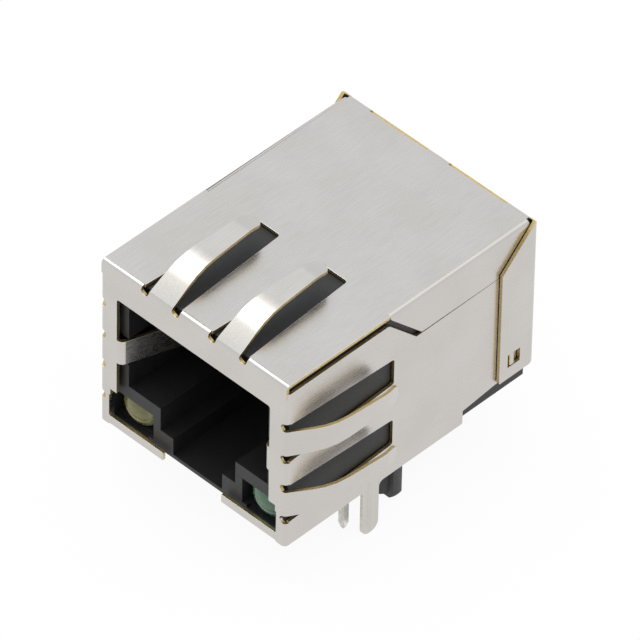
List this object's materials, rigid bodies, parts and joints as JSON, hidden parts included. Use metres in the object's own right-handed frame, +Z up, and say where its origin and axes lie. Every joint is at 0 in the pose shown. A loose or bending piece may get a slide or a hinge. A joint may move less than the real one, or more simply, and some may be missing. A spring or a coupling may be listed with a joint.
{
  "type": "rj45 board jack",
  "caption": "Shielded right-angle network jack for a circuit board, with spring fingers round its face, two indicator lamps and a built-in transformer module.",
  "frame": {"origin": "on the board's top face, midway between the two plastic pegs", "axes": "+X across the jack to the right when looking into the plug opening, -Y out of the plug opening, +Z up from the board"},
  "size_m": [0.019, 0.0213, 0.0187],
  "materials": {
    "nickel_shield": "satin nickel plating over brass sheet",
    "black_resin": "moulded, matt",
    "laminate": "solder mask over glass laminate",
    "lamp_yellow": "diffused tinted resin",
    "lamp_green": "diffused tinted resin",
    "gold_contact": "gold plated spring wire",
    "tin_lead": "bright tin plating",
    "ferrite": "sintered ferrite",
    "copper_wire": "enamelled copper wire"
  },
  "bodies": {
    "root": {"shield": "nickel_shield", "housing": "black_resin", "contact_carrier": "black_resin", "module_tray": "black_resin", "module_board": "laminate", "led_left": "lamp_yellow", "led_right": "lamp_green", "contact_1": "gold_contact", "contact_2": "gold_contact", "contact_3": "gold_contact", "contact_4": "gold_contact", "contact_5": "gold_contact", "contact_6": "gold_contact", "contact_7": "gold_contact", "contact_8": "gold_contact", "signal_pin_1": "tin_lead", "signal_pin_2": "tin_lead", "signal_pin_3": "tin_lead", "signal_pin_4": "tin_lead", "signal_pin_5": "tin_lead", "signal_pin_6": "tin_lead", "signal_pin_7": "tin_lead", "signal_pin_8": "tin_lead", "led_left_lead_1": "tin_lead", "led_left_lead_2": "tin_lead", "led_right_lead_1": "tin_lead", "led_right_lead_2": "tin_lead", "core_1": "ferrite", "core_2": "ferrite", "core_3": "ferrite", "core_4": "ferrite", "winding_1": "copper_wire", "winding_2": "copper_wire", "winding_3": "copper_wire", "winding_4": "copper_wire"}
  },
  "joints": []
}
